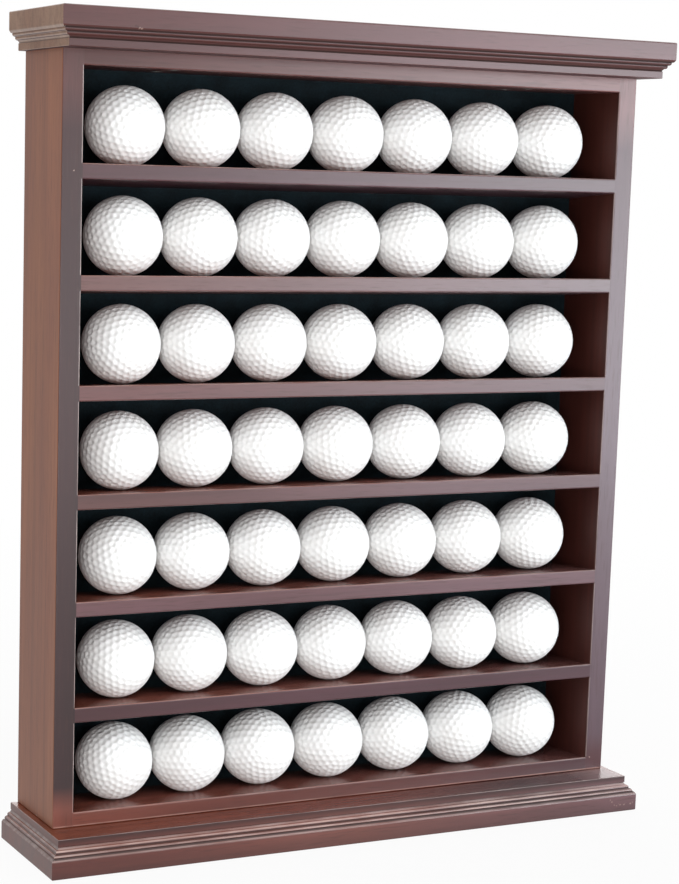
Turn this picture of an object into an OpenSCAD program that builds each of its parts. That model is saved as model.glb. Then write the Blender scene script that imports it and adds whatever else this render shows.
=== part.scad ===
// Golf ball display case: a wooden box of tilted shelves between two boards with a moulded edge.
// X runs left to right, Y from the front to the back, and Z up from the surface it stands on.

/* [Balls] */
// Diameter of a golf ball
ball_d = 42.67; // [40:0.01:45]
// Number of balls in a row
balls_in_row = 7; // [3:1:9]
// Number of rows, one to a bay
rows = 7; // [3:1:9]
// Gap between neighbouring balls in a row
ball_gap = 1.06; // [0.3:0.01:4]
// Space left at each end of a row
end_room = 11.4; // [6:0.1:25]
// How far the balls stand back from the front edges
front_room = 3.6; // [0:0.1:12]
// Space over a ball at the front of its bay
head_room = 6.5; // [5:0.1:20]
// Clearance that the balls keep from the shelf and the felt
seat_gap = 0.3; // [0.2:0.05:0.6]

/* [Side boards] */
// Thickness of a side board
side_t = 11.7; // [10:0.1:19]
// Depth of the open recess behind the back panel
back_recess = 3.5; // [2:0.5:20]
// Radius of the eased arrises
ease_r = 0.8; // [0.4:0.1:1.4]

/* [Shelves] */
// Thickness of a shelf
shelf_t = 8.1; // [6:0.1:12]
// Slope of a shelf, down towards the back, in degrees
shelf_tilt = 5; // [3:0.5:6]
// Thickness of the level panel over the top bay
top_panel_t = 8.1; // [7:0.1:14]
// Height of the bottom shelf at its front edge
bottom_shelf_h = 8.1; // [8:0.1:14]
// Depth of the housings that the shelves sit in
housing_depth = 3.5; // [2:0.5:4.5]
// Distance from the front edge at which the housings stop
housing_stop = 6; // [4:0.5:12]
// Clearance at the ends of a shelf in its housings
housing_fit = 0.2; // [0.1:0.05:0.5]

/* [Moulded boards] */
// Thickness of the top and base boards
board_t = 20.1; // [16:0.1:28]
// How far the boards stand out past the front of the case
front_over = 24.4; // [12:0.2:40]
// How far the boards stand out past each side of the case
side_over = 9.1; // [8:0.1:30]
// Depth of the moulding cut into the boards' edges
mould_depth = 5.2; // [4.6:0.1:7]
// Height of the fillet, the flat step next to the case
fillet_h = 3.8; // [2:0.1:5]
// Height of the slope between the fillet and the fascia
slope_h = 6.4; // [6:0.1:8]
// Width of the plain chamfer next to the fascia
chamfer_w = 1.6; // [1.2:0.1:1.7]
// Number of reeds in the hollow that is cut into the slope
reed_count = 2; // [1:1:2]
// Width of a reed
reed_w = 2.2; // [2:0.1:2.3]
// Depth of the hollow, which is how far a reed stands out of it
reed_proud = 0.6; // [0.4:0.05:0.9]
// Width of the groove between two reeds
reed_gap = 0.3; // [0.2:0.1:0.5]
// Width of the quirk, the groove between the reeds and the chamfer
quirk = 0.5; // [0.3:0.1:0.7]
// Radius of the fillet's arris
fine_ease_r = 0.4; // [0.2:0.1:0.6]
// Radius that the fascia turns in to the chamfer
fascia_ease_r = 1.6; // [0.6:0.1:2]

/* [Back] */
// Thickness of the felt lining
felt_t = 1.2; // [0.8:0.1:3]
// Thickness of the back panel
back_t = 5; // [3:0.5:9]
// Width of the rabbet that the back panel sits in
rabbet_w = 5; // [3:0.5:6]
// Clearance round the back panel and the felt
back_fit = 0.4; // [0.2:0.1:1]

/* [Fixings] */
// Diameter of a back panel pin
pin_d = 1.2; // [1:0.1:1.6]
// Length of a back panel pin
pin_l = 18; // [16:1:24]
// Diameter of a pin's head
pin_head_d = 2.4; // [2:0.1:3]
// Thickness of a pin's head
pin_head_t = 0.6; // [0.4:0.1:1]
// Diameter of a screw's shank
screw_d = 3.4; // [3:0.1:4]
// Diameter of a screw's countersunk head
screw_head_d = 7; // [6.5:0.1:8]
// Length of the screws under the top board
top_screw_l = 20; // [16:1:22]
// Length of the screws under the base board
base_screw_l = 45; // [36:1:60]
// Depth at which the base screws' heads lie in the board
screw_sink = 1; // [0.5:0.1:2]

/* [Hidden] */

ball_r = ball_d / 2;
ball_pitch = ball_d + ball_gap;
row_w = balls_in_row * ball_pitch - ball_gap;
inner_w = row_w + 2 * end_room;
inner_d = front_room + ball_d + seat_gap;
case_w = inner_w + 2 * side_t;
case_d = inner_d + felt_t + back_t + back_recess;

// Upright measures of a tilted shelf, and the heights that follow from them
slope = tan(shelf_tilt);
shelf_face_h = shelf_t / cos(shelf_tilt);
shelf_drop = inner_d * slope;
bay_h = ball_d + head_room;
bay_pitch = bay_h + shelf_face_h;
case_h = bottom_shelf_h + rows * bay_h + (rows - 1) * shelf_face_h + top_panel_t;
case_z = board_t;
case_top = case_z + case_h;
bay_1_top = case_top - top_panel_t;

// The whole stands with its middle over the origin
overall_w = case_w + 2 * side_over;
overall_d = case_d + front_over;
case_y = front_over - overall_d / 2;

// Walls that the rabbet leaves, and where the fixings stand
wall_x = inner_w / 2;
side_pin_x = wall_x + rabbet_w / 2;
side_screw_x = wall_x + (housing_depth + side_t) / 2;
top_screw_x = inner_w / 3;
screw_front_y = inner_d / 4;
screw_back_y = inner_d * 3 / 4;
shelf_pin_x = inner_w / 4;
pin_face_y = inner_d + felt_t + back_t;
screw_cone_l = (screw_head_d - screw_d) / 2;
screw_tip_l = screw_d;
recess_w = screw_d * 0.3;
recess_depth = screw_cone_l * 0.7;

// The slope from the fillet up to the fascia, the mouth of the hollow that is cut into it, and the reeds' radius
hollow_foot = [-mould_depth, fillet_h];
fascia_foot = [0, fillet_h + slope_h];
hollow_dir = (fascia_foot - hollow_foot) / norm(fascia_foot - hollow_foot);
hollow_out = [hollow_dir.y, -hollow_dir.x];
hollow_top = fascia_foot - hollow_dir * chamfer_w;
reed_r = (reed_w * reed_w / 4 + reed_proud * reed_proud) / (2 * reed_proud);

wood_stain = "#5a2a26";
wood_shade = "#46201d";
felt_black = "#14191a";
panel_brown = "#6b4a35";
ball_white = "#f2f2ee";
steel_grey = "#9a9a98";
ease_steps = 6;
cut = 1;
$fn = 64;

// Height of the front top edge of the shelf under a bay, with bay 1 at the top
function floor_z(bay) = bay_1_top - bay * bay_h - (bay - 1) * shelf_face_h;

// Points of the corner b between a and c, eased to a radius r
function eased(a, b, c, r) =
  let (
    to_a = (a - b) / norm(a - b),
    to_c = (c - b) / norm(c - b),
    half_angle = acos(to_a * to_c) / 2,
    centre = b + (to_a + to_c) / norm(to_a + to_c) * r / sin(half_angle),
    from = b + to_a * r / tan(half_angle) - centre,
    till = b + to_c * r / tan(half_angle) - centre
  )
  [
    for (k = [0:ease_steps])
      let (share = k / ease_steps, spoke = from * (1 - share) + till * share)
      centre + spoke / norm(spoke) * r
  ];

// A section drawn in Y and Z, run along X
module along_x(length) {
  rotate([90, 0, 90])
    linear_extrude(length, center = true)
      children();
}

// A section drawn in X and Z, run along Y from the front of the case
module along_y(from, till) {
  translate([0, till, 0])
    rotate([90, 0, 0])
      linear_extrude(till - from)
        children();
}

module in_place() {
  translate([0, case_y, 0])
    children();
}

// Section of a moulded edge. The fascia stands at x = 0 and the case side of the board is at y = 0.
module moulded_edge(reach) {
  fillet_foot = [-mould_depth, 0];
  fascia_top = [0, board_t];
  hollow_in = hollow_out * reed_proud;
  polygon(concat(
    [[-reach, 0]],
    eased([-reach, 0], fillet_foot, hollow_foot, fine_ease_r),
    [hollow_foot, hollow_foot - hollow_in, hollow_top - hollow_in, hollow_top],
    eased(hollow_top, fascia_foot, fascia_top, fascia_ease_r),
    eased(fascia_foot, fascia_top, [-reach, board_t], ease_r),
    [[-reach, board_t]]
  ));
  for (k = [1:reed_count])
    translate(hollow_top - hollow_dir * (quirk + reed_w / 2 + (k - 1) * (reed_w + reed_gap)) - hollow_out * reed_r)
      circle(reed_r);
}

// Board with the moulding on its front and both ends, mitred at the front corners, moulding downwards
module moulded_board() {
  half_w = overall_w / 2;
  intersection() {
    along_x(overall_w)
      translate([-front_over, 0])
        mirror([1, 0])
          moulded_edge(overall_d);
    along_y(-front_over, case_d)
      for (turned = [0, 1])
        mirror([turned, 0])
          translate([half_w, 0])
            moulded_edge(half_w + side_t);
  }
}

// Section of a shelf in Y and Z, from its front top edge, with eased front arrises
module shelf_section() {
  top_front = [0, 0];
  foot_front = [0, -shelf_face_h];
  top_back = [inner_d, -shelf_drop];
  foot_back = [inner_d, -shelf_drop - shelf_face_h];
  polygon(concat(
    eased(top_back, top_front, foot_front, ease_r),
    eased(top_front, foot_front, foot_back, ease_r),
    [foot_back, top_back]
  ));
}

// Section of a shelf's tongue and of its housing, from a distance behind the front edge
module shelf_tongue_section(from) {
  polygon([
    [from, -from * slope],
    [inner_d, -shelf_drop],
    [inner_d, -shelf_drop - shelf_face_h],
    [from, -from * slope - shelf_face_h]
  ]);
}

// Section of the bottom shelf, level underneath and sloped on top like the others
module bottom_section() {
  top_front = [0, bottom_shelf_h];
  top_back = [inner_d, bottom_shelf_h - shelf_drop];
  polygon(concat(
    eased([inner_d, 0], [0, 0], top_front, ease_r),
    eased([0, 0], top_front, top_back, ease_r),
    [top_back, [inner_d, 0]]
  ));
}

module bottom_tongue_section(from) {
  polygon([
    [from, 0],
    [from, bottom_shelf_h - from * slope],
    [inner_d, bottom_shelf_h - shelf_drop],
    [inner_d, 0]
  ]);
}

module top_panel_section() {
  polygon(concat(
    eased([0, top_panel_t], [0, 0], [inner_d, 0], ease_r),
    [[inner_d, 0], [inner_d, top_panel_t], [0, top_panel_t]]
  ));
}

module top_tongue_section(from) {
  translate([from, 0])
    square([inner_d - from, top_panel_t]);
}

// Runs a section across the case and its tongue section into both side boards
module housed_board() {
  along_x(inner_w)
    children(0);
  along_x(inner_w + 2 * (housing_depth - housing_fit))
    children(1);
}

// Every housing that is cut into a side board, drawn across the whole case
module housings() {
  along_x(inner_w + 2 * housing_depth) {
    for (bay = [1:rows - 1])
      translate([0, floor_z(bay)])
        shelf_tongue_section(housing_stop);
    translate([0, case_z])
      bottom_tongue_section(housing_stop);
    translate([0, bay_1_top])
      top_tongue_section(housing_stop);
  }
}

// What easing takes off the inner front arris of the left side board, in each bay between the boards' flush joints
module bay_arris_cuts() {
  inner_arris = [-wall_x, 0];
  for (bay = [1:rows])
    translate([0, 0, floor_z(bay)])
      linear_extrude(bay_h)
        polygon(concat(
          eased([-case_w / 2, 0], inner_arris, [-wall_x, case_d], ease_r),
          [inner_arris + [cut, ease_r], inner_arris + [cut, -cut], inner_arris + [-ease_r, -cut]]
        ));
}

// Side board on the left, with its arrises eased, its housings and the rabbet for the back
module side_board() {
  outer_x = -case_w / 2;
  difference() {
    intersection() {
      translate([0, 0, case_z])
        linear_extrude(case_h)
          polygon(concat(
            eased([outer_x, case_d], [outer_x, 0], [-wall_x, 0], ease_r),
            [[-wall_x, 0], [-wall_x, case_d]],
            eased([-wall_x, case_d], [outer_x, case_d], [outer_x, 0], ease_r)
          ));
      along_x(case_w)
        polygon(concat(
          eased([case_d, case_z], [0, case_z], [0, case_top], ease_r),
          [[0, case_top], [case_d, case_top], [case_d, case_z]]
        ));
      along_y(0, case_d)
        polygon(concat(
          eased([0, case_z], [outer_x, case_z], [outer_x, case_top], ease_r),
          [[outer_x, case_top], [0, case_top], [0, case_z]]
        ));
    }
    housings();
    bay_arris_cuts();
    translate([-wall_x - rabbet_w, inner_d, case_z - cut])
      cube([wall_x, case_d, case_h + 2 * cut]);
    pin_set(0);
    base_screw_set();
  }
}

// Outline shared by the felt and the back panel
module back_sheet(thickness) {
  sheet_w = inner_w + 2 * (rabbet_w - back_fit);
  translate([-sheet_w / 2, 0, case_z + back_fit])
    cube([sheet_w, thickness, case_h - 2 * back_fit]);
}

// One pin, driven towards the front from the back panel's rear face
module pin(head_t) {
  rotate([90, 0, 0])
    cylinder(h = pin_l, d = pin_d);
  rotate([-90, 0, 0])
    cylinder(h = head_t, d = pin_head_d);
}

// All pins: into the side boards at every other bay, and into each board's back edge
module pin_set(head_t) {
  translate([0, pin_face_y, 0]) {
    for (bay = [1:2:rows], turned = [-1, 1])
      translate([turned * side_pin_x, 0, floor_z(bay) + bay_h / 2])
        pin(head_t);
    for (turned = [-1, 1]) {
      for (bay = [1:rows - 1])
        translate([turned * shelf_pin_x, 0, floor_z(bay) - shelf_drop - shelf_face_h / 2])
          pin(head_t);
      translate([turned * shelf_pin_x, 0, case_z + (bottom_shelf_h - shelf_drop) / 2])
        pin(head_t);
      translate([turned * shelf_pin_x, 0, case_top - top_panel_t / 2])
        pin(head_t);
    }
  }
}

// One countersunk wood screw, driven upwards, with the face of its head at the origin
module screw(length) {
  difference() {
    screw_hole(length, 0);
    for (turned = [0, 90])
      rotate([0, 0, turned])
        translate([-screw_d / 2, -recess_w / 2, -cut])
          cube([screw_d, recess_w, recess_depth + cut]);
  }
}

// The wood that a screw takes the place of, with what is bored out below its head
module screw_hole(length, bored) {
  rotate_extrude()
    polygon(concat(
      bored > 0 ? [[0, -bored], [screw_head_d / 2, -bored]] : [[0, 0]],
      [
        [screw_head_d / 2, 0],
        [screw_d / 2, screw_cone_l],
        [screw_d / 2, length - screw_tip_l],
        [screw_d / 8, length],
        [0, length]
      ]
    ));
}

module at_top_screws() {
  for (x = [-top_screw_x, top_screw_x], y = [screw_front_y, screw_back_y])
    translate([x, y, bay_1_top])
      children();
}

module at_base_screws() {
  for (x = [-side_screw_x, side_screw_x], y = [screw_front_y, screw_back_y])
    translate([x, y, screw_sink])
      children();
}

// The base screws' holes, with the sink that their heads lie in
module base_screw_set() {
  at_base_screws()
    screw_hole(base_screw_l, screw_sink + cut);
}

module top_board() {
  color(wood_stain)
    in_place()
      difference() {
        translate([0, 0, case_top])
          moulded_board();
        at_top_screws()
          screw_hole(top_screw_l, 0);
      }
}

module base_board() {
  color(wood_stain)
    in_place()
      difference() {
        translate([0, 0, board_t])
          mirror([0, 0, 1])
            moulded_board();
        base_screw_set();
      }
}

module left_side() {
  color(wood_stain)
    in_place()
      side_board();
}

module right_side() {
  color(wood_stain)
    in_place()
      mirror([1, 0, 0])
        side_board();
}

module top_panel() {
  color(wood_shade)
    in_place()
      difference() {
        translate([0, 0, bay_1_top])
          housed_board() {
            top_panel_section();
            top_tongue_section(housing_stop + housing_fit);
          }
        at_top_screws()
          screw_hole(top_screw_l, 0);
        pin_set(0);
      }
}

module bottom_shelf() {
  color(wood_shade)
    in_place()
      difference() {
        translate([0, 0, case_z])
          housed_board() {
            bottom_section();
            bottom_tongue_section(housing_stop + housing_fit);
          }
        pin_set(0);
      }
}

// Shelf under a bay, counted from the top
module shelf(bay) {
  color(wood_shade)
    in_place()
      difference() {
        translate([0, 0, floor_z(bay)])
          housed_board() {
            shelf_section();
            shelf_tongue_section(housing_stop + housing_fit);
          }
        pin_set(0);
      }
}

module felt_lining() {
  color(felt_black)
    in_place()
      difference() {
        translate([0, inner_d, 0])
          back_sheet(felt_t);
        pin_set(0);
      }
}

module back_panel() {
  color(panel_brown)
    in_place()
      difference() {
        translate([0, inner_d + felt_t, 0])
          back_sheet(back_t);
        pin_set(0);
      }
}

module back_pins() {
  color(steel_grey)
    in_place()
      pin_set(pin_head_t);
}

module top_screws() {
  color(steel_grey)
    in_place()
      at_top_screws()
        screw(top_screw_l);
}

module base_screws() {
  color(steel_grey)
    in_place()
      at_base_screws()
        screw(base_screw_l);
}

// The balls of one bay, which lean on the felt at the back of the sloping shelf
module balls_row(bay) {
  ball_y = front_room + ball_r;
  ball_z = floor_z(bay) - ball_y * slope + (ball_r + seat_gap) / cos(shelf_tilt);
  color(ball_white)
    in_place()
      for (k = [1:balls_in_row])
        translate([(k - (balls_in_row + 1) / 2) * ball_pitch, ball_y, ball_z])
          sphere(ball_r);
}

top_board();
base_board();
left_side();
right_side();
top_panel();
bottom_shelf();
for (i = [1:rows - 1])
  shelf(i);
felt_lining();
back_panel();
back_pins();
top_screws();
base_screws();
for (i = [1:rows])
  balls_row(i);
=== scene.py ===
import math
import random

import bpy
import numpy as np
from mathutils import Euler, Matrix, Vector


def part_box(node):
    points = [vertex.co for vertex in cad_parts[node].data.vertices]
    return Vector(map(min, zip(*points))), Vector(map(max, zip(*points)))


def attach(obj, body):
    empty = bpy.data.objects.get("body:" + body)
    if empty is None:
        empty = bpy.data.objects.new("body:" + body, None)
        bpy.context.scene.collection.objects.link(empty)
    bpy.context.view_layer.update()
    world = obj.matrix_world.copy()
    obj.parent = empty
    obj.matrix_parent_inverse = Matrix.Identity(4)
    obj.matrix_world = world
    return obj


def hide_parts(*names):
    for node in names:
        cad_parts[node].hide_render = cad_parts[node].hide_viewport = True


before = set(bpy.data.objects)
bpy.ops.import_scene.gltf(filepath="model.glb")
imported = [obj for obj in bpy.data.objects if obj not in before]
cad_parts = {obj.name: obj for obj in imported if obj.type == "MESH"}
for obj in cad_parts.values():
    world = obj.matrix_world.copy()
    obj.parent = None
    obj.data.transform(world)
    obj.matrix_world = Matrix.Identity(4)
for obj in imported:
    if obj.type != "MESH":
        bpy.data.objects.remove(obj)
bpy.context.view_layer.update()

# ---------------------------------------------------------------------------
# Base board
# A solid hardwood board, routed on its front and both ends with a fillet, two
# reeds and a fascia. The grain runs along it, so its ends show end grain.
# ---------------------------------------------------------------------------


def linear(code):
    """The linear colour, with alpha, of an sRGB hex code."""
    channels = [int(code[k : k + 2], 16) / 255 for k in (1, 3, 5)]
    return [
        c / 12.92 if c <= 0.04045 else ((c + 0.055) / 1.055) ** 2.4 for c in channels
    ] + [1.0]


def shade(code, share):
    """A hex code's linear colour, made lighter or darker."""
    return [c * share for c in linear(code)[:3]] + [1.0]


def add(tree, kind, settings=None, links=None, stops=None):
    """Adds a node with its settings, by property or input, its links from other outputs, and the
    stops of a colour ramp."""
    new = tree.nodes.new("ShaderNode" + kind)
    for key, value in (settings or {}).items():
        if isinstance(key, int) or key in new.inputs:
            new.inputs[key].default_value = value
        else:
            setattr(new, key, value)
    for key, source in (links or {}).items():
        tree.links.new(source, new.inputs[key])
    if stops:
        elements = new.color_ramp.elements
        while len(elements) < len(stops):
            elements.new(0.5)
        for element, (place, colour) in zip(elements, stops):
            element.position, element.color = place, colour
    return new


def new_material(name):
    """An empty material with its output, and the node tree to build it in."""
    material = bpy.data.materials.new(name)
    material.use_nodes = True
    material.node_tree.nodes.clear()
    return material, material.node_tree, add(material.node_tree, "OutputMaterial")


def stained_hardwood(
    node,
    grain,
    cut_at,
    stain,
    tones=(),
    dullness=0.0,
    worn_and_highlit=0.3,
    worn_and_highlit_side=0,
    foot_highlight=0.0,
    shade_bands=(),
    dark_lines=(),
    pale_lines=(),
    nicks=(),
):
    """Mahogany-like hardwood, planed, stained dark red-brown and sprayed with satin lacquer.
    The stain sinks in unevenly, so soft streaks and clouds follow the grain. Shade is painted
    dark into the grooves and under the reeds, and highlight is painted pale onto their crests
    and the arrises, where the stain is also rubbed thin. The lacquer over it gives one soft
    shine.

    grain       the axis that the fibres follow
    cut_at      the place in the log, in metres, that the board comes from
    stain       the colour at shares of the board's length
    tones       an axis, a sense, and the stain of the faces that look that way, with painted light and shade
    dullness    what the lacquer lacks on all but the front
    worn_and_highlit  how bare the arrises are, and how strong the highlight painted on them
    worn_and_highlit_side   the side, -1 or 1, that the bare and painted-highlit arrises lie on, or 0 for both
    foot_highlight   how strong the highlight painted on the lowest millimetre of the front is
    bands       two heights between which painted shade grows on the front, and its share
    dark_lines  heights on the front of grooves painted dark as shade
    pale_lines  heights on the front painted with a pale highlight line, and how strong each is
    nicks       a place, a radius, and the share of bare wood, or of painted shade where it is below 0"""
    material, tree, output = new_material("stained_hardwood_" + node)
    place = add(tree, "TexCoord").outputs["Object"]
    # Periods in metres along the grain, and across it in the two other directions. The pores are
    # about four times as wide as real ones, so that they show
    figure_m, cloud_m = (0.30, 0.0045, 0.010), (0.16, 0.034, 0.05)
    pore_m, rub_m = (0.012, 0.0008, 0.0010), (0.025, 0.006, 0.006)
    turned = {"X": (0, 1, 2), "Z": (2, 1, 0)}[grain]
    # The pores' own colour, then painted shade for the darker bands and for the reeds' undersides
    in_pores, painted_shade_tint, painted_shade_under_reeds = "#3a1c17", "#7c5148", "#44150e"
    # Painted shade for corners, chips and the thin lines in the grooves
    painted_shade_dark, painted_groove_shade = "#2c0c07", "#200703"
    # Bare wood with a painted highlight for arrises, reed crests and the foot line, and bare wood
    # in nicks
    bare_and_highlit_arris, painted_crest_highlight, painted_foot_highlight, bare_nick = "#cbbab5", "#dcbcb0", "#d0a698", "#d2b3a5"

    def along_grain(period, **settings):
        """Noise that is drawn out along the fibres, and differs from board to board."""
        scale = [1 / period[k] for k in turned]
        lie = add(
            tree,
            "Mapping",
            {"Location": [a * s for a, s in zip(cut_at, scale)], "Scale": scale},
            {"Vector": place},
        )
        return add(
            tree, "TexNoise", {"Scale": 1.0, **settings}, {"Vector": lie.outputs[0]}
        ).outputs[0]

    def tinted(colour, tint, amount, mask=None, blend="MIX"):
        """The colour with a tint, a hex code or an output, blended in by an amount, all over or
        where a mask lets it."""
        settings, links = {"data_type": "RGBA", "blend_type": blend, 0: amount}, {6: colour}
        if isinstance(tint, str):
            settings[7] = linear(tint)
        else:
            links[7] = tint
        if mask is not None:
            scaled = {"operation": "MULTIPLY", 1: amount}
            links[0] = add(tree, "Math", scaled, {0: mask}).outputs[0]
        return add(tree, "Mix", settings, links).outputs[2]

    def ramp(value, start, end, low=0.0, high=1.0):
        """The value, taken from start to end onto low to high, and held there beyond them."""
        settings = {"From Min": start, "From Max": end, "To Min": low, "To Max": high}
        return add(tree, "MapRange", settings, {"Value": value}).outputs[0]

    def both(one, other, operation="MULTIPLY"):
        return add(tree, "Math", {"operation": operation}, {0: one, 1: other}).outputs[0]

    def size_of(value):
        return add(tree, "Math", {"operation": "ABSOLUTE"}, {0: value}).outputs[0]

    facing = add(tree, "SeparateXYZ", {}, {0: add(tree, "NewGeometry").outputs["Normal"]})
    lies = add(tree, "SeparateXYZ", {}, {0: place})
    axis = "XYZ".index(grain)
    lowest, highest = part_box(node)
    lengthwise = ramp(lies.outputs[axis], lowest[axis], highest[axis])
    # The codes give the wood as it is seen. The streaks and clouds darken it, so under them it is
    # lighter by this share
    before_streaks = 1.23

    def stained(codes):
        """The stain along the board."""
        stops = [(share, shade(code, before_streaks)) for share, code in codes]
        return add(tree, "ValToRGB", {}, {"Fac": lengthwise}, stops=stops).outputs[0]

    def streaked(noise, darkest):
        """White, down to the darkest shade over the middle of the noise's range."""
        stops = ((0.34, darkest), (0.66, linear("#ffffff")))
        return add(tree, "ValToRGB", {}, {"Fac": noise}, stops=stops).outputs[0]

    figure = along_grain(figure_m, Detail=3.0, Roughness=0.55, Distortion=0.6)
    clouds = along_grain(cloud_m, Detail=2.0, Roughness=0.5)
    pores = ramp(along_grain(pore_m, Detail=1.0, Roughness=0.4), 0.55, 0.74)
    colour = stained(stain)
    for looks, sense, codes in tones:
        that_way = ramp(facing.outputs["XYZ".index(looks)], 0.45 * sense, 0.75 * sense)
        colour = tinted(colour, stained(codes), 1.0, that_way)
    colour = tinted(colour, streaked(figure, shade("#ffffff", 0.75)), 1.0, blend="MULTIPLY")
    colour = tinted(colour, streaked(clouds, linear("#dccdc9")), 0.8, blend="MULTIPLY")
    colour = tinted(colour, in_pores, 0.3, pores)

    # Arrises and reeds face none of the axes squarely
    square = size_of(facing.outputs[0])
    for k in (1, 2):
        square = both(square, size_of(facing.outputs[k]), "MAXIMUM")
    arris = ramp(square, 0.99, 0.88)
    patchy = ramp(along_grain(rub_m, Detail=2.0), 0.3, 0.65, 0.35)
    forwards = ramp(facing.outputs[1], -0.1, -0.4)
    not_under = ramp(facing.outputs[2], -0.4, -0.1)
    under = ramp(facing.outputs[2], -0.15, -0.5)
    # Painted shade, growing between two heights on the front
    for pale, dark, share in shade_bands:
        in_shade_band = both(ramp(lies.outputs[2], pale, dark), forwards)
        colour = tinted(colour, painted_shade_tint, share, in_shade_band, "MULTIPLY")
    # Painted shade on the slopes of the reeds and arrises that face down
    if dark_lines:
        colour = tinted(colour, painted_shade_under_reeds, 0.9, both(both(arris, under), forwards))
    # Arrises that don't face down are painted pale, on one side or both: stain rubbed thin, with a
    # painted highlight
    if worn_and_highlit_side:
        arris = both(arris, ramp(facing.outputs[0], -0.1 * worn_and_highlit_side, 0.1 * worn_and_highlit_side))
    colour = tinted(colour, bare_and_highlit_arris, worn_and_highlit, both(both(arris, not_under), patchy))

    def line_at(height, half_width):
        """1 on a thin line that runs along the front at a height."""
        off = add(tree, "Math", {"operation": "SUBTRACT", 1: height}, {0: lies.outputs[2]})
        return both(ramp(size_of(off.outputs[0]), half_width, half_width * 0.35), forwards)

    # Painted shade in thin lines along the grooves, which are made rougher too
    groove_lines = None
    for height in dark_lines:
        line = line_at(height, 0.0007)
        groove_lines = line if groove_lines is None else both(groove_lines, line, "MAXIMUM")
        colour = tinted(colour, painted_groove_shade, 0.85, line)
    # Painted highlight in thin lines on the crests of the reeds
    for height, share in pale_lines:
        colour = tinted(colour, painted_crest_highlight, share, both(line_at(height, 0.0005), patchy))
    # Painted shade in inner corners and narrow gaps, up to 2 mm from what shades them
    closeness = {"samples": 6, "only_local": True, "Distance": 0.002}
    grooves = ramp(add(tree, "AmbientOcclusion", closeness).outputs["AO"], 0.85, 0.4)
    colour = tinted(colour, painted_shade_dark, 0.85, both(grooves, forwards))
    front = ramp(facing.outputs[1], -0.8, -0.95)
    if foot_highlight:
        # A highlight painted on the lowest millimetre of the front, where the case stands on the
        # base board
        foot = both(ramp(lies.outputs[2], lowest.z + 0.0013, lowest.z + 0.0009), front)
        colour = tinted(colour, painted_foot_highlight, foot_highlight, both(foot, patchy))
    if nicks:
        # Stirred by a noise that turns in about a millimetre, so that a nick's outline is ragged
        stir = add(tree, "TexNoise", {"Scale": 900.0, "Detail": 2.0}, {"Vector": place})
        stirred_m = {"data_type": "VECTOR", 0: 0.0012}
        ragged = add(tree, "Mix", stirred_m, {4: place, 5: stir.outputs[1]}).outputs[1]
    # A nick shows bare wood, or painted shade where its share is below 0
    for spot, radius, bare in nicks:
        off = add(tree, "VectorMath", {"operation": "DISTANCE", 1: spot}, {0: ragged})
        inside = ramp(off.outputs["Value"], radius, radius * 0.6)
        colour = tinted(colour, bare_nick if bare > 0 else painted_shade_dark, abs(bare), inside)

    shine = ramp(clouds, 0.0, 1.0, 0.29, 0.37)
    if dullness:
        shine = both(shine, ramp(front, 0.0, 1.0, dullness, 0.0), "ADD")
    # Lacquer flows out smoother on a level face, and hands and cloths burnish arrises and reeds
    level = ramp(facing.outputs[2], 0.8, 0.95)
    smoother = both(ramp(level, 0.0, 1.0, 1.0, 0.72), ramp(arris, 0.0, 1.0, 1.0, 0.5))
    shine = both(shine, smoother)
    if groove_lines is not None:
        shine = both(shine, ramp(groove_lines, 0.0, 1.0, 0.0, 0.4), "ADD")
    open_pores = {"Strength": 0.3, "Distance": 0.00004, "invert": True}
    relief = add(tree, "Bump", open_pores, {"Height": pores})
    lacquered = add(
        tree,
        "BsdfPrincipled",
        {"IOR": 1.5},
        {"Base Color": colour, "Roughness": shine, "Normal": relief.outputs[0]},
    )
    tree.links.new(lacquered.outputs[0], output.inputs["Surface"])
    return material


def dress(name, material):
    """Gives a carried-over CAD node its material in every slot."""
    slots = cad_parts[name].data.materials
    for k in range(len(slots)):
        slots[k] = material


fascia_y = -0.0403
# Small scuffs in a run low on the fascia, by its right end: across and up
scuffs = (
    (0.1668, 0.0082),
    (0.1680, 0.0072),
    (0.1700, 0.0050),
    (0.1714, 0.0046),
    (0.1728, 0.0056),
    (0.1742, 0.0050),
    (0.1768, 0.0048),
    (0.1782, 0.0057),
    (0.1812, 0.0050),
    (0.1826, 0.0055),
)
# The ledge round the case, from its left end to its right end, with painted reflections: dark
# where it mirrors the case front, and pale at the right end, where it mirrors the white surround
ledge_stain_and_reflection = (
    (0, "#85462f"),
    (0.4, "#86493a"),
    (0.58, "#82483c"),
    (0.8, "#4a2a2b"),
    (0.9, "#6a4848"),
    (0.955, "#a08484"),
    (1, "#b89c9c"),
)
dress(
    "base_board",
    stained_hardwood(
        "base_board",
        "X",
        (0.31, 0.02, 0.05),
        # Greyer towards the right end, with a painted sheen
        ((0, "#6a3a32"), (1, "#604044")),
        tones=(
            # The front greys towards the right with a painted sheen, and the ledge carries painted
            # reflections
            ("Y", -1, ((0, "#54261f"), (0.5, "#643931"), (1, "#604449"))),
            ("Z", 1, ledge_stain_and_reflection),
            ("X", -1, ((0, "#581d09"), (1, "#581d09"))),
        ),
        worn_and_highlit=0.42,
        # Painted shade: the fillet darkens up to the ledge, and the fascia down to the foot
        shade_bands=((0.0160, 0.0190, 0.75), (0.0085, 0.0015, 0.4)),
        # Painted shade in the groove between the reeds and the quirk below them, and painted
        # highlight on the crests of the reeds
        dark_lines=(0.01305, 0.01100),
        pale_lines=((0.01425, 0.45), (0.01200, 0.35)),
        nicks=[((across, fascia_y, up), 0.0009, 0.28) for across, up in scuffs],
    ),
)

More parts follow.
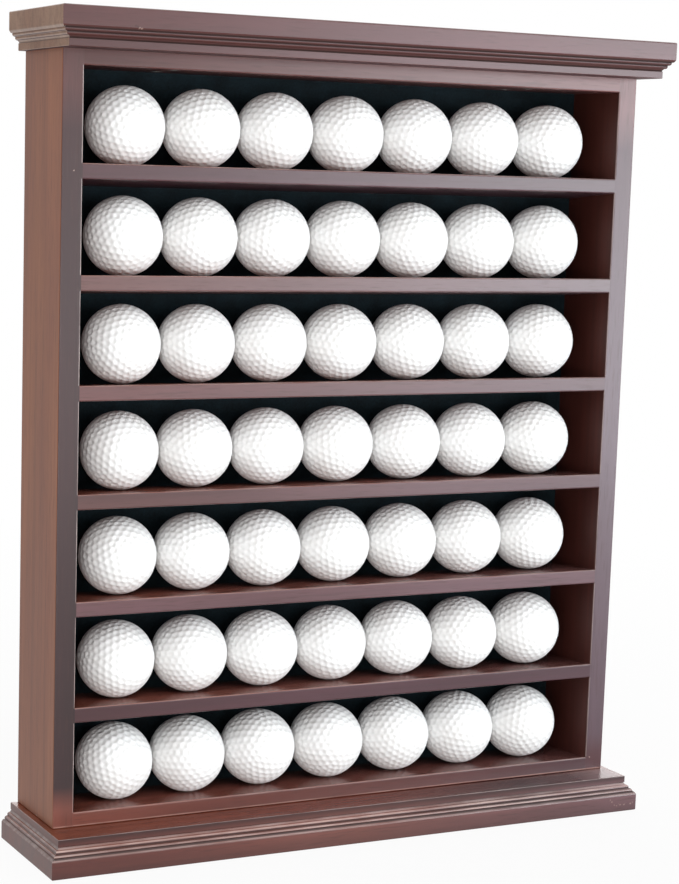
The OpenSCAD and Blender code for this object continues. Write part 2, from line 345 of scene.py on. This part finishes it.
# ---------------------------------------------------------------------------
# Side boards
# Upright boards of the same wood, with housings for the shelves on the inside
# and a rabbet for the back. Their inner faces are painted dark as shade, and
# their front edges, the stiles, carry painted sheen and shade.
# ---------------------------------------------------------------------------
# The stiles, from the foot up, with painted sheen and shade: the right one purple-grey where it
# mirrors the lamps, and at both ends each has the tone of its rail
stile_stains_sheen_and_shade = {
    "left_side": (
        (0.0, "#703c30"),
        (0.025, "#703c30"),
        (0.055, "#280f11"),
        (0.9, "#321315"),
        (0.955, "#4c2826"),
        (1.0, "#4f2a27"),
    ),
    "right_side": (
        (0.0, "#421c21"),
        (0.025, "#421e23"),
        (0.055, "#4a343c"),
        (0.5, "#5e4c55"),
        (0.9, "#45272f"),
        (0.955, "#6e4a4b"),
        (1.0, "#745051"),
    ),
}
outer_face = ((0, "#8c593f"), (1, "#8a5234"))
# The inner faces, painted dark as shade
shaded_inner_face = ((0, "#46201a"), (1, "#4a221a"))
stile_y = -0.0159
side_nicks = {
    "left_side": (
        ((-0.1680, stile_y, 0.3682), 0.0008, 0.5),
        ((-0.1756, 0.0099, 0.0207), 0.0016, 0.6),
        ((-0.1589, stile_y, 0.0222), 0.0012, 0.7),
    ),
    "right_side": (((0.1671, stile_y, 0.0285), 0.0008, 0.4),),
}
# The left stile's inner arris is rubbed, and painted with a highlight, the most
side_boards = (
    ("left_side", (0.07, 0.11, 0.13), 1, 0.8),
    ("right_side", (0.43, 0.17, 0.29), -1, 0.3),
)
for name, cut_at, inwards, worn_and_highlit in side_boards:
    dress(
        name,
        stained_hardwood(
            name,
            "Z",
            cut_at,
            outer_face,
            tones=(("X", inwards, shaded_inner_face), ("Y", -1, stile_stains_sheen_and_shade[name])),
            dullness=0.2,
            worn_and_highlit=worn_and_highlit,
            worn_and_highlit_side=inwards,
            foot_highlight=0.45,
            nicks=side_nicks[name],
        ),
    )

# ---------------------------------------------------------------------------
# Bottom shelf, six shelves and top panel
# Thin boards with the grain running across the case, glued into the housings.
# The shelves slope a little down to the back, so the balls lean on the felt.
# ---------------------------------------------------------------------------
# Stain of each front edge, evenly spread from its left end to its right, with a painted grey-pink
# sheen towards the right on most
shelf_stains_and_sheen = {
    "bottom_shelf": ("#703c2f", "#5a302a", "#3c1b22"),
    "shelf_1": ("#46252a", "#4f383f"),
    "shelf_2": ("#654340", "#604d52"),
    "shelf_3": ("#684140", "#5c4348"),
    "shelf_4": ("#512f2c", "#5f434a"),
    "shelf_5": ("#5b3b3f", "#593c42"),
    "shelf_6": ("#3f1d22", "#42222c"),
    "top_panel": ("#4c2420", "#724c4c"),
}
# The shelf tops, painted lighter than the fronts as the light on them
lit_shelf_top = ((0, "#8e5446"), (1, "#684644"))
for k, (name, codes) in enumerate(shelf_stains_and_sheen.items()):
    dress(
        name,
        stained_hardwood(
            name,
            "X",
            # Each board comes from further along, and further into, the log
            (0.9 + 0.37 * k, 0.23 * k, 0.071 * k),
            [(step / (len(codes) - 1), code) for step, code in enumerate(codes)],
            tones=(("Z", 1, lit_shelf_top),),
            foot_highlight=0.45 if name == "bottom_shelf" else 0.0,
        ),
    )

# ---------------------------------------------------------------------------
# Top board
# The base board turned over, held by screws driven up through the top panel.
# Its end grain is painted pale as sheen, and its top and ends are duller than its front.
# ---------------------------------------------------------------------------
dress(
    "top_board",
    stained_hardwood(
        "top_board",
        "X",
        (0.58, 0.37, 0.21),
        # Pinker towards the right end, with a painted sheen
        ((0, "#4b2726"), (1, "#5a3539")),
        # The left end grain, painted pale as sheen
        tones=(("X", -1, ((0, "#987a67"), (1, "#987a67"))),),
        dullness=0.35,
        worn_and_highlit=0.25,
        # Painted shade in the quirk, the groove between the reeds, and the one between them and
        # the fillet
        dark_lines=(0.43830, 0.43630, 0.43355),
        # Two bare nicks, and two painted dark as the shade in a chip, near the left end
        nicks=(
            ((-0.1420, fascia_y, 0.4389), 0.0012, 0.5),
            ((-0.1431, fascia_y, 0.4392), 0.0011, 0.45),
            ((-0.1442, fascia_y, 0.4401), 0.0011, -0.7),
            ((-0.1452, fascia_y, 0.4405), 0.0010, -0.6),
        ),
    ),
)

# ---------------------------------------------------------------------------
# Felt lining
# One sheet of black wool felt, 1.2 mm thick, glued flat to the back panel.
# Its nap gives it a soft, slightly mottled face with no shine.
# ---------------------------------------------------------------------------


def mesh_object(name, points, faces):
    """A smooth-shaded mesh object from arrays of points and of triangles or quads."""
    mesh = bpy.data.meshes.new(name)
    points = np.asarray(points, np.float32)
    faces = np.asarray(faces, np.int32)
    corners = faces.shape[1]
    mesh.vertices.add(len(points))
    mesh.vertices.foreach_set("co", points.ravel())
    mesh.loops.add(faces.size)
    mesh.loops.foreach_set("vertex_index", faces.ravel())
    mesh.polygons.add(len(faces))
    mesh.polygons.foreach_set("loop_start", np.arange(0, faces.size, corners, dtype=np.int32))
    mesh.polygons.foreach_set("use_smooth", np.full(len(faces), True))
    mesh.update(calc_edges=True)
    mesh.validate()
    piece = bpy.data.objects.new(name, mesh)
    bpy.context.scene.collection.objects.link(piece)
    return piece


def wool_felt():
    """Pressed wool felt, dyed black with a cold cast. Fibres scatter light at the surface, which
    is the sheen, and lie in small tufts about 1.5 mm across."""
    material, tree, output = new_material("wool_felt")
    place = add(tree, "TexCoord").outputs["Object"]
    # 650 and 70 to the metre: the tufts, and clouds 14 mm across
    tufts = add(
        tree, "TexNoise", {"Scale": 650.0, "Detail": 4.0, "Roughness": 0.7}, {"Vector": place}
    )
    clouds = add(
        tree, "TexNoise", {"Scale": 70.0, "Detail": 3.0, "Roughness": 0.6}, {"Vector": place}
    )
    mottle = add(
        tree,
        "Mix",
        {"data_type": "FLOAT", 0: 0.5},
        {2: tufts.outputs[0], 3: clouds.outputs[0]},
    )
    dyed = add(
        tree,
        "ValToRGB",
        {},
        {"Fac": mottle.outputs[0]},
        stops=((0.38, linear("#040b0f")), (0.64, linear("#0f1d23"))),
    )
    nap = add(tree, "Bump", {"Strength": 0.7, "Distance": 0.0004}, {"Height": tufts.outputs[0]})
    fibre = add(
        tree,
        "BsdfPrincipled",
        {
            "Roughness": 0.95,
            "Specular IOR Level": 0.2,
            "Sheen Weight": 0.09,
            "Sheen Roughness": 0.6,
            "Sheen Tint": linear("#9fb4b8"),
        },
        {"Base Color": dyed.outputs[0], "Normal": nap.outputs[0]},
    )
    tree.links.new(fibre.outputs[0], output.inputs["Surface"])
    return material


felt_lo, felt_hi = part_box("felt_lining")
felt_w, felt_h = felt_hi.x - felt_lo.x, felt_hi.z - felt_lo.z
felt_cell_m, nap_depth_m = 0.0025, 0.00012
columns, lines = int(felt_w / felt_cell_m) + 1, int(felt_h / felt_cell_m) + 1
nap_draw = np.random.default_rng(11)
across, up = np.meshgrid(
    np.linspace(felt_lo.x, felt_hi.x, columns), np.linspace(felt_lo.z, felt_hi.z, lines)
)
face_y = felt_lo.y + nap_depth_m * nap_draw.random(across.shape)
felt_face = np.stack([across, face_y, up], -1).reshape(-1, 3)
felt_back = np.stack([across, np.full(across.shape, felt_hi.y), up], -1).reshape(-1, 3)
grid = np.arange(columns * lines).reshape(lines, columns)
quads = np.stack([grid[:-1, :-1], grid[:-1, 1:], grid[1:, 1:], grid[1:, :-1]], -1).reshape(-1, 4)
# Once round the sheet, to close its cut edge
rim = np.concatenate([grid[0, :], grid[1:, -1], grid[-1, -2::-1], grid[-2:0:-1, 0]])
rim_next = np.roll(rim, -1)
edge_quads = np.stack([rim, rim + grid.size, rim_next + grid.size, rim_next], -1)
felt = mesh_object(
    "felt_sheet",
    np.concatenate([felt_face, felt_back]),
    np.concatenate([quads, quads[:, ::-1] + grid.size, edge_quads]),
)
felt.data.materials.append(wool_felt())
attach(felt, "case")
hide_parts("felt_lining")

# ---------------------------------------------------------------------------
# Back panel
# A sheet of brown hardboard that lies in the rabbets of the side boards.
# It carries the felt, and pins hold it to the case.
# ---------------------------------------------------------------------------


def hardboard():
    """Tempered hardboard: steamed wood fibre, pressed hard, so its face is smooth and flecked
    with short fibres."""
    material, tree, output = new_material("tempered_hardboard")
    place = add(tree, "TexCoord").outputs["Object"]
    # 900 and 35 to the metre: flecks of about a millimetre, and clouds 29 mm across
    flecks = add(
        tree, "TexNoise", {"Scale": 900.0, "Detail": 3.0, "Roughness": 0.75}, {"Vector": place}
    )
    clouds = add(tree, "TexNoise", {"Scale": 35.0, "Detail": 3.0}, {"Vector": place})
    mottle = add(
        tree,
        "Mix",
        {"data_type": "FLOAT", 0: 0.4},
        {2: flecks.outputs[0], 3: clouds.outputs[0]},
    )
    pressed = add(
        tree,
        "ValToRGB",
        {},
        {"Fac": mottle.outputs[0]},
        stops=((0.36, linear("#4f3424")), (0.64, linear("#7d583d"))),
    )
    relief = add(
        tree, "Bump", {"Strength": 0.3, "Distance": 0.0001}, {"Height": flecks.outputs[0]}
    )
    board = add(
        tree,
        "BsdfPrincipled",
        {"Roughness": 0.55},
        {"Base Color": pressed.outputs[0], "Normal": relief.outputs[0]},
    )
    tree.links.new(board.outputs[0], output.inputs["Surface"])
    return material


dress("back_panel", hardboard())

# ---------------------------------------------------------------------------
# Pins and screws
# Zinc-plated wire pins hold the back panel, and zinc-plated countersunk screws
# hold the two moulded boards to the case.
# ---------------------------------------------------------------------------


def plated_steel():
    """Zinc-plated steel: a soft grey metal shine, in clouds of 0.7 mm where the plating has
    dulled."""
    material, tree, output = new_material("zinc_plated_steel")
    place = add(tree, "TexCoord").outputs["Object"]
    clouds = add(tree, "TexNoise", {"Scale": 1500.0, "Detail": 2.0}, {"Vector": place})
    dull = add(tree, "MapRange", {"To Min": 0.26, "To Max": 0.45}, {"Value": clouds.outputs[0]})
    tone = add(
        tree,
        "ValToRGB",
        {},
        {"Fac": clouds.outputs[0]},
        stops=((0.35, linear("#a9a9a6")), (0.65, linear("#c9c9c6"))),
    )
    metal = add(
        tree,
        "BsdfPrincipled",
        {"Metallic": 1.0},
        {"Base Color": tone.outputs[0], "Roughness": dull.outputs[0]},
    )
    tree.links.new(metal.outputs[0], output.inputs["Surface"])
    return material


zinc = plated_steel()
for name in ("back_pins", "top_screws", "base_screws"):
    dress(name, zinc)

# ---------------------------------------------------------------------------
# Golf balls
# Forty-nine white balls, seven to a bay. Each cover is moulded with 392 round
# dimples, laid out on an icosahedron and turned askew of its edges.
# ---------------------------------------------------------------------------
steps_along, steps_askew = 5, 2
# Real dimples are about a quarter of a millimetre deep: these are deeper, so that they show
dimple_depth_m = 0.00062
# A rim's share of the room up to its neighbours, and the share of a rim where the inner ring lies
rim_share, ring_share = 0.96, 0.6


def unit(vectors):
    """The same directions with length 1."""
    return vectors / np.linalg.norm(vectors, axis=-1, keepdims=True)


def dimple_centres(h, k):
    """Directions of 10 (hh + hk + kk) + 2 dimples: a triangular lattice, h steps and k askew
    between the corners of an icosahedron, wrapped over each of its faces."""
    golden = (1 + math.sqrt(5)) / 2
    corners = unit(np.array([
        [p[-s], p[1 - s], p[2 - s]]
        for s in range(3)
        for p in [(0, a, b * golden) for a in (1, -1) for b in (1, -1)]
    ]))
    total = h * h + h * k + k * k
    # The angle between two corners that share an edge, whose cosine is 0.447
    arc = math.acos(1 / math.sqrt(5))
    weights = np.array([
        (total - b - c, b, c)
        for x in range(-k, h + 1)
        for y in range(h + k + 1)
        for b, c in [(x * (h + k) + y * k, h * y - k * x)]
        if min(b, c, total - b - c) >= 0
    ]) / total
    found = {}
    for i in range(12):
        for j in range(12):
            for m in range(12):
                face = corners[[i, j, m]]
                sides = [face[0] @ face[1], face[1] @ face[2], face[2] @ face[0]]
                if i < min(j, m) and min(sides) > 0.4 and np.linalg.det(face) > 0:
                    for aim in unit(np.sin(weights * arc) @ face):
                        found[tuple(np.round(aim, 5) + 0.0)] = aim
    return np.array(list(found.values()))


def dimpled_ball(radius):
    """Points and triangles of one ball, with a round dimple round each centre. A dimple has a
    middle, an inner ring, and a rim of twice as many points, and flat land joins the rims."""
    centres = dimple_centres(steps_along, steps_askew)
    near = centres @ centres.T
    spacing = math.sqrt(4 * math.pi / len(centres) * 2 / math.sqrt(3))
    points, faces, land = [], [], {}

    def land_point(*meeting):
        """The point where three dimples meet, made once for all three."""
        key = tuple(sorted(meeting))
        if key not in land:
            a, b, c = centres[list(key)]
            aim = unit(np.cross(b - a, c - a))
            land[key] = len(points)
            points.append(aim * math.copysign(radius, aim @ a))
        return land[key]

    for v, centre in enumerate(centres):
        # The next dimples all lie within 1.4 spacings, in order round this one
        ring = [n for n in np.nonzero(near[v] > math.cos(1.4 * spacing))[0] if n != v]
        side = unit(np.cross(centre, centres[ring[0]]))
        ring.sort(key=lambda n: math.atan2(centres[n] @ side, centres[n] @ np.cross(side, centre)))
        count = len(ring)
        rim_angle = rim_share / 2 * min(math.acos(near[v, n]) for n in ring)
        lands = [land_point(v, ring[k], ring[(k + 1) % count]) for k in range(count)]
        aims = []
        for k in range(count):
            before, after = points[lands[k - 1]], points[lands[k]]
            aims += [before + after, after]
        aims = [unit(aim - centre * (aim @ centre)) for aim in aims]

        def at(aim, share):
            """The point of the dimple's bowl at a share of the way from its middle to its rim."""
            angle, depth = rim_angle * share, dimple_depth_m * (1 - share**2) ** 0.8
            return (math.cos(angle) * centre + math.sin(angle) * aim) * (radius - depth)

        middle = len(points)
        points.append(centre * (radius - dimple_depth_m))
        points += [at(aims[2 * k], ring_share) for k in range(count)]
        points += [at(aim, 1.0) for aim in aims]
        inner = [middle + 1 + k for k in range(count)]
        rim = [middle + 1 + count + k for k in range(2 * count)]
        for k in range(count):
            nxt = (k + 1) % count
            here, there, past = rim[2 * k], rim[2 * k + 1], rim[2 * nxt]
            faces += [
                (middle, inner[k], inner[nxt]),
                (inner[k], here, there),
                (inner[k], there, inner[nxt]),
                (inner[nxt], there, past),
                (here, lands[k - 1], lands[k]),
                (here, lands[k], there),
                (there, lands[k], past),
            ]
    return np.array(points), np.array(faces)


def painted_cover():
    """Ionomer ball cover, moulded, painted white and clear coated: bright, smooth and evenly
    glossy, in clouds 17 mm across that hardly show."""
    material, tree, output = new_material("painted_ionomer_cover")
    place = add(tree, "TexCoord").outputs["Object"]
    clouds = add(tree, "TexNoise", {"Scale": 60.0, "Detail": 2.0}, {"Vector": place})
    paint = add(
        tree,
        "ValToRGB",
        {},
        {"Fac": clouds.outputs[0]},
        stops=((0.3, linear("#efeeec")), (0.7, linear("#f5f5f4"))),
    )
    shine = add(tree, "MapRange", {"To Min": 0.36, "To Max": 0.46}, {"Value": clouds.outputs[0]})
    cover = add(
        tree,
        "BsdfPrincipled",
        {"IOR": 1.5},
        {"Base Color": paint.outputs[0], "Roughness": shine.outputs[0]},
    )
    tree.links.new(cover.outputs[0], output.inputs["Surface"])
    return material


row_lo, row_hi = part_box("balls_row_1")
ball_radius = (row_hi.z - row_lo.z) / 2
ball_points, ball_faces = dimpled_ball(ball_radius)
cover_paint = painted_cover()
turn_draw = random.Random(49)
balls_in_row = 7
for row in range(1, 8):
    row_lo, row_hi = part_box(f"balls_row_{row}")
    row_points, row_faces = [], []
    for k in range(balls_in_row):
        share = k / (balls_in_row - 1)
        middle = (
            row_lo.x + ball_radius + (row_hi.x - row_lo.x - 2 * ball_radius) * share,
            (row_lo.y + row_hi.y) / 2,
            (row_lo.z + row_hi.z) / 2,
        )
        turn = Euler([turn_draw.uniform(0, 2 * math.pi) for _ in range(3)]).to_matrix()
        row_faces.append(ball_faces + k * len(ball_points))
        row_points.append(ball_points @ np.array(turn).T + np.array(middle))
    balls = mesh_object(
        f"dimpled_balls_{row}", np.concatenate(row_points), np.concatenate(row_faces)
    )
    balls.data.materials.append(cover_paint)
    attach(balls, f"row_{row}")
    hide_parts(f"balls_row_{row}")

# ---------------------------------------------------------------------------
# Floor, light and camera
# A pale floor that runs on behind the case, a white surround that lights it
# weakly, and seven soft lamps, most of them low in front of it.
# ---------------------------------------------------------------------------


def seen_directly(tree):
    """1 for rays from the camera, from a reflection or through glass, which should see white."""
    rays = add(tree, "LightPath")
    seen = rays.outputs["Is Camera Ray"]
    for kind in ("Is Glossy Ray", "Is Transmission Ray"):
        seen = add(
            tree, "Math", {"operation": "MAXIMUM"}, {0: seen, 1: rays.outputs[kind]}
        ).outputs[0]
    return seen


def pale_floor():
    """Matt white paper. Seen directly it is mostly its own white, with part of the light that
    falls on it, so that the object's shadow stays. The shadow fades out 1.1 m away."""
    material, tree, output = new_material("matt_white_paper")
    paper = add(tree, "BsdfDiffuse", {"Color": linear("#f8f8f8")})
    white = add(tree, "Emission", {"Color": (1, 1, 1, 1), "Strength": 1.0})
    place = add(tree, "TexCoord").outputs["Object"]
    away = add(tree, "VectorMath", {"operation": "LENGTH"}, {0: place})
    share = add(
        tree,
        "MapRange",
        {"From Min": 0.25, "From Max": 1.1, "To Min": 0.93, "To Max": 1.0},
        {"Value": away.outputs["Value"]},
    )
    lifted = add(
        tree, "Math", {"operation": "MULTIPLY"}, {0: seen_directly(tree), 1: share.outputs[0]}
    )
    surface = add(
        tree, "MixShader", {}, {0: lifted.outputs[0], 1: paper.outputs[0], 2: white.outputs[0]}
    )
    tree.links.new(surface.outputs[0], output.inputs["Surface"])
    return material


floor_half_m = 4.0
floor = mesh_object(
    "floor",
    [(x * floor_half_m, y * floor_half_m, 0) for x, y in ((-1, -1), (1, -1), (1, 1), (-1, 1))],
    [(0, 1, 2, 3)],
)
floor.data.materials.append(pale_floor())

world = bpy.data.worlds.new("white_surround")
world.use_nodes = True
sky = world.node_tree
sky.nodes.clear()
# Plain white where it is seen, and much weaker as light
strength = add(sky, "MapRange", {"To Min": 0.40, "To Max": 1.0}, {"Value": seen_directly(sky)})
surround = add(sky, "Background", {"Color": (1, 1, 1, 1)}, {"Strength": strength.outputs[0]})
sky.links.new(surround.outputs[0], add(sky, "OutputWorld").inputs["Surface"])
bpy.context.scene.world = world


def soft_lamp(name, azimuth, elevation, distance, size, radiance, tint="#ffffff"):
    """A rectangular lamp that faces the middle of the case. azimuth is in degrees from the front
    towards the right, and elevation up from level. radiance 1 is as bright as the white floor."""
    data = bpy.data.lights.new(name, "AREA")
    data.shape, data.size, data.size_y = "RECTANGLE", size[0], size[1]
    data.energy = radiance * math.pi * size[0] * size[1]
    data.color = linear(tint)[:3]
    lamp = bpy.data.objects.new(name, data)
    bpy.context.scene.collection.objects.link(lamp)
    a, e = math.radians(azimuth), math.radians(elevation)
    away = Vector((math.sin(a) * math.cos(e), -math.cos(a) * math.cos(e), math.sin(e)))
    middle = Vector((0, 0, 0.22))
    lamp.location = middle + away * distance
    lamp.rotation_euler = away.to_track_quat("Z", "Y").to_euler()


# A strong, slightly cool pair at the front right makes the main light, and the narrow lower lamp
# reaches under the edges. A weak broad lamp and a strong narrow one low down fill from the left.
soft_lamp("key_lamp", 42, 4, 2.2, (1.3, 0.7), 9.2, "#f2faff")
soft_lamp("low_key_lamp", 42, -4, 2.2, (1.3, 0.14), 5.2, "#e6f4ff")
soft_lamp("front_lamp", -24, 4, 2.4, (1.6, 1.5), 0.9)
soft_lamp("low_front_lamp", -15, -3.5, 1.6, (1.6, 0.24), 7.4)
# One from above lights the ledge and the shelf tops, and two from behind the right side and back
soft_lamp("high_lamp", -10, 42, 2.2, (1.4, 1.2), 1.7)
soft_lamp("rear_lamp", 152, 18, 2.4, (1.2, 0.3), 6.0)
soft_lamp("back_lamp", 180, 40, 2.4, (1.4, 1.4), 2.0)

# The camera as the photograph gives it, fitted to the edges of the case and the outlines of the
# balls, with its focal length and its centre in the photograph's pixels
photo_w, photo_h = 679, 884
focal_px, centre_px = 2203.336, (295.65, 513.76)
camera_data = bpy.data.cameras.new("camera")
camera = bpy.data.objects.new("camera", camera_data)
bpy.context.scene.collection.objects.link(camera)
camera_data.sensor_width = 36.0
camera_data.lens = focal_px / photo_h * 36
camera_data.shift_x = (photo_w / 2 - centre_px[0]) / photo_h
camera_data.shift_y = (centre_px[1] - photo_h / 2) / photo_h
right = Vector((0.894899, -0.445282, 0.029657)).normalized()
down = Vector((-0.041814, -0.149827, -0.987828)).normalized()
ahead = right.cross(down).normalized()
down = ahead.cross(right).normalized()
stands = Matrix.Translation((-0.574853, -1.086341, 0.36996))
camera.matrix_world = stands @ Matrix((right, -down, -ahead)).transposed().to_4x4()
bpy.context.scene.camera = camera
bpy.context.scene.view_settings.view_transform = "Standard"
